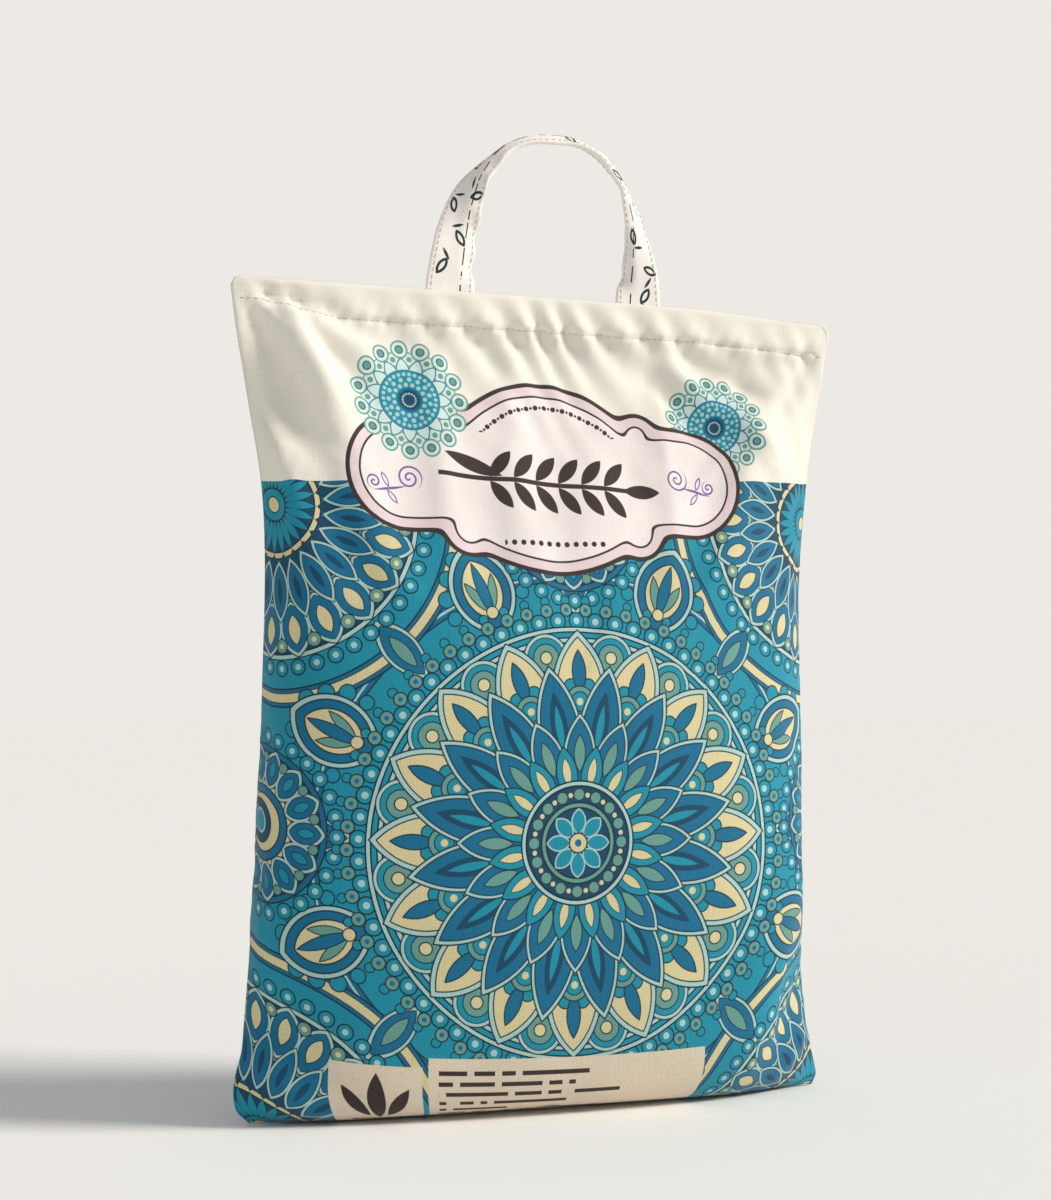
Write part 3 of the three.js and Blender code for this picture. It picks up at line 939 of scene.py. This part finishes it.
# Soft folds in the flat cloth, in millimetres: across and up of the start, the same of the end, half width,
# and how far they stand out. In front they are pulls from the strap, then folds of the left top corner, of
# the right one and of the base
FRONT_FOLDS = (
    (50, 493, 112, 414, 7, -4.2), (60, 493, 146, 424, 7, 3.6), (74, 494, 178, 446, 7, -3.8),
    (-60, 493, -85, 450, 6.5, 1.6), (-45, 493, -30, 455, 7, -1.4), (20, 491, -8, 458, 7, -1.4),
    (-194, 512, -112, 493, 5.5, -4.4), (-176, 512, -128, 408, 10, 9.5),
    (-192, 508, -158, 392, 13, -8.5), (-170, 503, -96, 462, 8, 4.2), (-150, 488, -106, 432, 7.5, -4),
    (-192, 440, -156, 372, 9, 4.2), (105, 474, 184, 384, 10, 5.2), (192, 508, 148, 424, 10, -5.2),
    (186, 508, 116, 482, 7.5, 3.6), (194, 450, 164, 372, 8, 2.4), (-194, 95, -120, 30, 9, -2.6),
    (-190, 60, -140, 20, 7, 2), (194, 100, 122, 34, 9, -2.6), (190, 64, 144, 22, 7, 2),
)
BACK_FOLDS = (
    (55, 493, 130, 425, 6.5, -2.8), (-55, 493, -125, 420, 6.5, -2.8), (182, 508, 132, 416, 8.5, 4.6),
    (-182, 508, -134, 418, 8.5, 4.2), (-68, 493, -150, 448, 6, 2), (68, 493, 155, 446, 6, 2),
    (194, 95, 120, 30, 9, -2.4), (-194, 95, -120, 30, 9, -2.4),
)


def sewing_relief(u, v, height, cloth, front):
    """How far the sewn cloth stands out: the stitched groove, puckers along it and the seams, and folds."""
    off = v - stitch_height(u, height, cloth)
    phase = 0.0 if front else 2.1
    groove = -0.0011 * np.exp(-(off / 0.0014) ** 2)
    drift = 1.2 * np.sin(u / 0.027 + phase) + 0.8 * np.sin(u / 0.013 + 1.7 * phase)
    reach = np.where(off < 0, 0.030, 0.022)
    fade = np.exp(-np.abs(off) / reach)
    strength = 0.75 + 0.45 * np.sin(u / 0.041 + 1.3 + phase)
    puckers = 0.0024 * strength * fade * np.sin(2 * np.pi * (u + 0.6 * off) / 0.024 + drift)
    small = 0.0007 * np.exp(-np.abs(off) / 0.008) * np.sin(2 * np.pi * (u - 0.3 * off) / 0.0083 + 2 * drift)
    inset = cloth.width / 2 - np.abs(u)
    seam_turn = 2 * np.pi * (v + 0.5 * inset) / 0.021 + 0.8 * np.sin(v / 0.037)
    seam = 0.0006 * np.exp(-inset / 0.011) * np.sin(seam_turn)
    folds = sum(crease(u, v, fold) for fold in (FRONT_FOLDS if front else BACK_FOLDS))
    return groove + puckers + small + seam + folds


def finish_panel(grid, height, cloth, front):
    """Resamples a settled panel finely, adds its sewing and droops the right top corner."""
    rows, columns = grid.shape[0] - 1, grid.shape[1] - 1
    line = height - cloth.hem_depth
    fine = [line + step for step in (-0.0030, -0.0015, 0, 0.0015, 0.0030)]
    edge = [height - step for step in (0.0045, 0.0030, 0.0018, 0.0008, 0.0)]
    plain = [value for value in np.linspace(0, height, 2 * rows - 1)
             if abs(value - line) > 0.0042 and value < height - 0.006]
    v = np.array(sorted(plain + fine + edge))
    u = np.linspace(-cloth.width / 2, cloth.width / 2, 2 * columns + 1)
    grid = resample(grid, v / height * rows)
    grid = resample(grid.transpose(1, 0, 2), (u / cloth.width + 0.5) * columns).transpose(1, 0, 2)
    out = grid_normals(grid)
    if not front:
        out = -out
    across, up = np.meshgrid(u, v)
    relief = sewing_relief(across, up, height, cloth, front)
    border = np.minimum(smooth_step(cloth.width / 2 - np.abs(across), 0, 0.020), (height - up) / 0.008)
    relief *= np.clip(np.minimum(border, up / 0.02), 0, 1)
    grid = grid + out * relief[:, :, None]
    # The hem's top edge is folded round, and its right corner hangs a little
    rounding = np.clip((up - (height - 0.0030)) / 0.0030, 0, 1)
    grid[:, :, 1] *= np.sqrt(np.maximum(1 - rounding ** 2, 0))
    corner = 0.007
    aside = np.clip(np.abs(across) - (cloth.width / 2 - corner), 0, corner * 0.98)
    rounded = (corner - np.sqrt(corner ** 2 - aside ** 2)) * smooth_step(up, height - 0.020, height)
    grid[:, :, 2] -= rounded
    droop = 0.0048 * smooth_step(across, 0.085, 0.192) * smooth_step(up, 0.38, height)
    grid[:, :, 2] -= droop
    return grid, across, up


def add_maps(mesh, **maps):
    """Adds maps of flat places, one place for each corner of each face."""
    for name, places in maps.items():
        layer = mesh.uv_layers.new(name=name)
        layer.data.foreach_set("uv", np.array(places, dtype=float).ravel())


def make_panel(name, grid, across, up, material, cloth, front):
    """One panel as a mesh with its print map, given the canvas's thickness inward."""
    rows, columns = grid.shape[0] - 1, grid.shape[1] - 1
    number = np.arange((rows + 1) * (columns + 1)).reshape(rows + 1, columns + 1)
    corners = np.stack([number[:-1, :-1], number[:-1, 1:], number[1:, 1:], number[1:, :-1]], axis=-1)
    if not front:
        corners = corners[..., ::-1]
    faces = corners.reshape(-1, 4)
    mesh = bpy.data.meshes.new(name)
    mesh.from_pydata(grid.reshape(-1, 3).tolist(), [], faces.tolist())
    hand = 1 if front else -1
    flat = np.stack([hand * across.ravel(), up.ravel()], axis=1)[faces.ravel()]
    baked = flat / (cloth.width, up.max()) * 0.98 + (0.5, 0.01)
    add_maps(mesh, OFBake=baked, print=flat)
    mesh.materials.append(material)
    mesh.shade_smooth()
    piece = put(name, mesh)
    shell = piece.modifiers.new("Canvas thickness", "SOLIDIFY")
    shell.thickness = cloth.thickness
    shell.offset = -1
    return piece


def path_on_panel(grid, across, up, heights, front):
    """Points just over a panel, one for each column, at the flat heights given."""
    out = grid_normals(grid) * (1 if front else -1)
    points = []
    for i, height in enumerate(heights):
        j = int(np.clip(np.searchsorted(up[:, i], height), 1, up.shape[0] - 1))
        share = (height - up[j - 1, i]) / (up[j, i] - up[j - 1, i])
        point = grid[j - 1, i] * (1 - share) + grid[j, i] * share
        points.append(point + out[j, i] * STITCH_LIFT)
    return np.array(points)


# Stitches

def stitch_nodes():
    """A geometry node tree that lays stitches along a curve, with sizes as its inputs."""
    made = bpy.data.node_groups.get("Stitches along a curve")
    if made:
        return made
    tree, given = new_group("Stitches along a curve", "GeometryNodeTree", "Geometry", (
        ("Geometry", "Geometry"), ("Stitch pitch", "Float"), ("Stitch length", "Float"),
        ("Thread thickness", "Float"), ("Unevenness", "Float"), ("Seed", "Int"), ("Thread", "Material")))
    spots = add(tree, "GeometryNodeCurveToPoints", {"Curve": given[0], "Length": given[1]},
                mode="LENGTH").node
    ball = add(tree, "GeometryNodeMeshUVSphere", {"Segments": 6, "Rings": 5, "Radius": 0.5})
    ball = add(tree, "GeometryNodeSetShadeSmooth", {"Geometry": ball})
    size = add(tree, "ShaderNodeCombineXYZ", [given[3], given[3], given[2]])
    least = add(tree, "ShaderNodeMath", [1.0, given[4]], operation="SUBTRACT")
    uneven = add(tree, "FunctionNodeRandomValue", {2: least, 3: 1.0, "Seed": given[5]}, out=1,
                 data_type="FLOAT")
    size = add(tree, "ShaderNodeVectorMath", {0: size, 3: uneven}, operation="SCALE")
    laid = add(tree, "GeometryNodeInstanceOnPoints", {
        "Points": spots.outputs["Points"], "Instance": ball, "Rotation": spots.outputs["Rotation"],
        "Scale": size})
    real = add(tree, "GeometryNodeRealizeInstances", {"Geometry": laid})
    real = add(tree, "GeometryNodeSetMaterial", {"Geometry": real, "Material": given[6]})
    add(tree, "NodeGroupOutput", [real])
    return tree


def make_stitches(name, paths, material, cloth, seed):
    """Stitches along paths, as one plain mesh."""
    curve = bpy.data.curves.new(name, "CURVE")
    curve.dimensions = "3D"
    for path in paths:
        spline = curve.splines.new("POLY")
        spline.points.add(len(path) - 1)
        spline.points.foreach_set("co", np.hstack([path, np.ones((len(path), 1))]).ravel())
    seam = put(name + "_path", curve)
    modifier = seam.modifiers.new("Stitches", "NODES")
    tree = stitch_nodes()
    sockets = {item.name: item.identifier for item in tree.interface.items_tree if item.in_out == "INPUT"}
    modifier.node_group = tree
    values = {"Stitch pitch": cloth.stitch_length, "Stitch length": cloth.stitch_length * 0.78,
              "Thread thickness": cloth.thread_thickness, "Unevenness": 0.2, "Seed": seed, "Thread": material}
    for socket, value in values.items():
        modifier[sockets[socket]] = value
    graph = bpy.context.evaluated_depsgraph_get()
    mesh = bpy.data.meshes.new_from_object(seam.evaluated_get(graph), depsgraph=graph)
    mesh.name = name
    bpy.data.objects.remove(seam)
    bpy.data.curves.remove(curve)
    return put(name, mesh)


# Strap

def strap_centre(share, strap):
    """The strap's middle line, from share 0 at the left foot to 1 at the right one, and how far it rises."""
    foot_share = 3 / 54
    arch = np.clip((share - foot_share) / (1 - 2 * foot_share), 0, 1)
    angle = np.pi * arch
    rise = np.sin(angle) ** 0.9
    reach = np.sign(np.cos(angle)) * np.abs(np.cos(angle)) ** 0.8
    missing = np.maximum(np.maximum(foot_share - share, share - 1 + foot_share), 0) / foot_share
    centre = np.stack([strap.lean * np.sin(angle) - strap.half_span * reach, np.zeros_like(share),
                       BAG_HEIGHT + strap.rise * rise - strap.foot_depth * missing], axis=1)
    return centre, rise


def strap_axes(steps, strap):
    """Along the strap in equal steps: share, middle line, rise, run, and directions across and outward."""
    share = np.linspace(0, 1, steps + 1)
    centre, rise = strap_centre(share, strap)
    reach = 1 / 54
    ahead = strap_centre(np.minimum(share + reach, 1), strap)[0]
    behind = strap_centre(np.maximum(share - reach, 0), strap)[0]
    along = ahead - behind
    along /= np.linalg.norm(along, axis=1, keepdims=True)
    inward = np.stack([along[:, 2], np.zeros(steps + 1), -along[:, 0]], axis=1)
    forward = np.array([0.0, -1.0, 0.0])
    roll = (np.pi / 2 * smooth_step(rise, 0.20, 0.95))[:, None]
    across = inward * np.cos(roll) + forward * np.sin(roll)
    face = forward * np.cos(roll) - inward * np.sin(roll)
    run = np.concatenate([[0], np.cumsum(np.linalg.norm(np.diff(centre, axis=0), axis=1))])
    return share, centre, rise, run, across, face


def strap_layer(axes, place, off, strap):
    """Points along the strap, at one place across it and so far off its middle layer.

    The tape is folded lengthwise off its middle: the inner leaf turns back in small flaps, most at the top
    and the right leg, and the tape is gathered narrower over the arch and up the right leg."""
    share, centre, rise, run, across, face = axes
    right = smooth_step(share, 0.40, 0.60)
    gather = 1 - (0.33 + 0.13 * right) * smooth_step(rise, -0.1 * right, 0.80 - 0.28 * right)
    opened = smooth_step(rise, 0.0, 0.20)
    uneven = 1 + 0.014 * np.sin(run / 0.013) + 0.010 * np.sin(run / 0.0051)
    half = strap.width / 2 * gather * uneven
    flaps = 12 * np.sin(run / 0.0036 + 0.6) * (1 - smooth_step(rise, 0.75, 1))
    bend = 28 + 22 * smooth_step(rise, 0.3, 0.9) + 18 * smooth_step(share, 0.55, 0.9) + flaps
    bend = np.radians(bend) * opened
    fold_at = 0.30 * half
    reach = place * half
    beyond = 0.0009 * np.logaddexp(0, (reach - fold_at) / 0.0009)
    wave = 0.0006 * np.sin(run / 0.017 + 2.4 * place) + 0.0004 * np.sin(run / 0.0068 - 3.1 * place)
    sideways = reach - (1 - np.cos(bend)) * beyond
    lift = (strap.crease * 0.35 + wave * np.abs(place)) * opened - np.sin(bend) * beyond
    slope = bend / (1 + np.exp(-(reach - fold_at) / 0.0009))
    out = face * np.cos(slope)[:, None] + across * np.sin(slope)[:, None]
    return centre + across * sideways[:, None] + face * lift[:, None] + out * off


def make_strap(material, strap):
    """The folded strap with rounded edges and a lengthwise crease."""
    steps, across_steps = 200, 25
    axes = strap_axes(steps, strap)
    run = axes[3]
    edge = strap.thickness / strap.width
    top = np.linspace(-1, 1, across_steps) * (1 - edge)
    turn = np.linspace(np.pi / 2, -np.pi / 2, 7)[1:-1]
    flat = np.ones(across_steps)
    places = np.concatenate([top, 1 - edge + edge * np.cos(turn), -top, edge - 1 - edge * np.cos(turn)])
    lifts = strap.thickness / 2 * np.concatenate([flat, np.sin(turn), -flat, -np.sin(turn)])
    # The inner face's print follows the outer face's across the tape
    faces_at = np.where(lifts >= 0, places, 2.2 - places)
    count = len(places)
    layers = [strap_layer(axes, place, lift, strap) for place, lift in zip(places, lifts)]
    points = np.stack(layers, axis=1).reshape(-1, 3)
    faces, flats = [], []
    for k in range(steps):
        for i in range(count):
            n = (i + 1) % count
            faces.append([k * count + i, (k + 1) * count + i, (k + 1) * count + n, k * count + n])
            end = faces_at[n] if abs(faces_at[n] - faces_at[i]) < 1 else faces_at[i]
            for value, step in ((faces_at[i], 0), (faces_at[i], 1), (end, 1), (end, 0)):
                flats.append((value * strap.width / 2, run[k + step]))
    faces.append(list(range(count)))
    faces.append([steps * count + i for i in range(count)][::-1])
    flats += [(0, 0)] * (2 * count)
    mesh = bpy.data.meshes.new("carry_strap_canvas")
    mesh.from_pydata(points.tolist(), [], faces)
    add_maps(mesh, print=flats)
    mesh.materials.append(material)
    mesh.shade_smooth()
    fix = bmesh.new()
    fix.from_mesh(mesh)
    bmesh.ops.recalc_face_normals(fix, faces=fix.faces)
    fix.to_mesh(mesh)
    fix.free()
    return put("carry_strap_canvas", mesh)


def strap_seams(strap):
    """Paths of the edge stitches on both faces of the strap."""
    axes = strap_axes(300, strap)
    off = strap.thickness / 2 + STITCH_LIFT
    return [strap_layer(axes, place, side * off, strap) for side in (-1, 1) for place in (-0.8, 0.8)]


def ride(piece):
    """Fixes a piece to the bag's one body."""
    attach(piece, "root")


class RICE_BAG_OT_panels(bpy.types.Operator):
    """Settle the cloth round the rice and make the front and back panels with their hem stitches"""
    bl_idname = "rice_bag.panels"
    bl_label = "Make Panels"

    def execute(self, context):
        cloth = settings().cloth
        form = cad_form()
        grid, height = start_sheet(form, PANEL_COLUMNS, PANEL_ROWS)
        settled = settle_cloth(grid, flat_sheet(grid, cloth.width, height), cloth)
        true_up(settled, grid, form)
        thread = cotton_thread()
        for name, panel, front in (("front", settled[0], True), ("back", settled[1], False)):
            panel, across, up = finish_panel(panel, height, cloth, front)
            canvas = printed_canvas(f"Printed canvas {name}", front)
            piece = make_panel(f"{name}_panel", panel, across, up, canvas, cloth, front)
            ride(piece)
            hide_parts("filled_bag")
            heights = stitch_height(across[0], height, cloth)
            path = path_on_panel(panel, across, up, heights, front)[2:-2]
            stitches = make_stitches(f"{name}_hem_stitches", [path], thread, cloth, 3)
            ride(stitches)
        return {"FINISHED"}


class RICE_BAG_OT_strap(bpy.types.Operator):
    """Make the folded carry strap and its edge stitches"""
    bl_idname = "rice_bag.strap"
    bl_label = "Make Strap"

    def execute(self, context):
        strap = settings().strap
        piece = make_strap(strap_canvas(), strap)
        ride(piece)
        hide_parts("carry_strap")
        thread = bpy.data.materials.get("Twisted cotton thread") or cotton_thread()
        stitches = make_stitches("strap_stitches", strap_seams(strap), thread, settings().cloth, 5)
        ride(stitches)
        return {"FINISHED"}


# The photograph's camera, fitted to the bag's corners and base line
CAMERA_PLACE = (-0.405, -1.108, 0.2325)
CAMERA_YAW = math.radians(19.5)
CAMERA_PITCH = math.radians(3.0)
KEY_PLACE, KEY_TARGET = (1.42, -0.70, 1.25), (0, 0, 0.28)
FILL_PLACE, FILL_TARGET = (-1.6, -1.2, 0.9), (0, 0, 0.25)


def place_light(light, place, target):
    """Puts a light at a place, looking at a target."""
    lamp = put(light.name, light)
    lamp.location = place
    lamp.rotation_euler = (Vector(target) - Vector(place)).to_track_quat("-Z", "Y").to_euler()


class RICE_BAG_OT_stage(bpy.types.Operator):
    """Make the floor, the lights and the camera"""
    bl_idname = "rice_bag.stage"
    bl_label = "Make Stage"

    def execute(self, context):
        stage = settings().stage
        floor = flat_square("floor", 40)
        material, tree = new_material("Plain matt floor")
        shader = add(tree, "ShaderNodeBsdfDiffuse", {"Color": list(stage.floor), "Roughness": 0.0})
        add(tree, "ShaderNodeOutputMaterial", [shader])
        floor.data.materials.append(material)

        # The key is as wide as a large soft box two metres away, and as even over the floor as a far one
        key = bpy.data.lights.new("key_light", "SUN")
        key.angle = math.radians(17)
        key.energy = stage.key_strength
        key.color = linear("#FFFAF2")[:3]
        place_light(key, KEY_PLACE, KEY_TARGET)
        fill = bpy.data.lights.new("fill_light", "AREA")
        fill.shape = "SQUARE"
        fill.size = 1.6
        fill.energy = stage.fill_power
        fill.color = linear("#F3F7FF")[:3]
        place_light(fill, FILL_PLACE, FILL_TARGET)

        # The camera sees a backdrop as pale as the lit floor, and the bag is lit by softer surroundings
        world = bpy.data.worlds.new("Plain surroundings")
        context.scene.world = world
        world.use_nodes = True
        tree = world.node_tree
        tree.nodes.clear()
        sky = add(tree, "ShaderNodeBackground", {"Color": linear("#F6F7F8"), "Strength": stage.sky})
        backdrop = add(tree, "ShaderNodeBackground", {"Color": list(stage.backdrop)})
        seen = add(tree, "ShaderNodeLightPath")
        add(tree, "ShaderNodeOutputWorld", [add(tree, "ShaderNodeMixShader", [seen, sky, backdrop])])

        lens = bpy.data.cameras.new("camera")
        lens.lens = stage.lens
        camera = put("camera", lens)
        camera.location = CAMERA_PLACE
        camera.rotation_euler = (math.pi / 2 + CAMERA_PITCH, 0, -CAMERA_YAW)
        context.scene.camera = camera
        context.scene.view_settings.view_transform = "Standard"
        return {"FINISHED"}


class RICE_BAG_PT_sidebar(bpy.types.Panel):
    """Sizes, colours and build steps of the rice bag"""
    bl_idname = "RICE_BAG_PT_sidebar"
    bl_label = "Rice Bag"
    bl_space_type = "VIEW_3D"
    bl_region_type = "UI"
    bl_category = "Rice Bag"

    def draw(self, context):
        for group in ("cloth", "strap", "colours", "stage"):
            values = getattr(settings(), group)
            column = self.layout.column(align=True)
            for name in values.__annotations__:
                column.prop(values, name)
        for step in BUILD_STEPS:
            self.layout.operator(f"rice_bag.{step}")


class RiceBagSettings(bpy.types.PropertyGroup):
    """All settings of the rice bag."""

    cloth: PointerProperty(name="Cloth", description="Sizes of the canvas", type=BagClothSettings)
    strap: PointerProperty(name="Strap", description="Sizes of the strap", type=BagStrapSettings)
    colours: PointerProperty(name="Colours", description="Canvas and print", type=BagColourSettings)
    stage: PointerProperty(name="Stage", description="Floor, lights and camera", type=StageSettings)


BUILD_STEPS = ("stage", "panels", "strap")
CLASSES = (BagClothSettings, BagStrapSettings, BagColourSettings, StageSettings, RiceBagSettings,
           RICE_BAG_OT_panels, RICE_BAG_OT_strap, RICE_BAG_OT_stage, RICE_BAG_PT_sidebar)


def register():
    """Adds the add-on's classes and its settings."""
    for item in CLASSES:
        bpy.utils.register_class(item)
    bpy.types.Scene.rice_bag = PointerProperty(type=RiceBagSettings)


def unregister():
    """Removes them again."""
    del bpy.types.Scene.rice_bag
    for item in reversed(CLASSES):
        bpy.utils.unregister_class(item)


def main():
    """Builds everything."""
    register()
    for step in BUILD_STEPS:
        getattr(bpy.ops.rice_bag, step)()


if __name__ == "__main__":
    main()
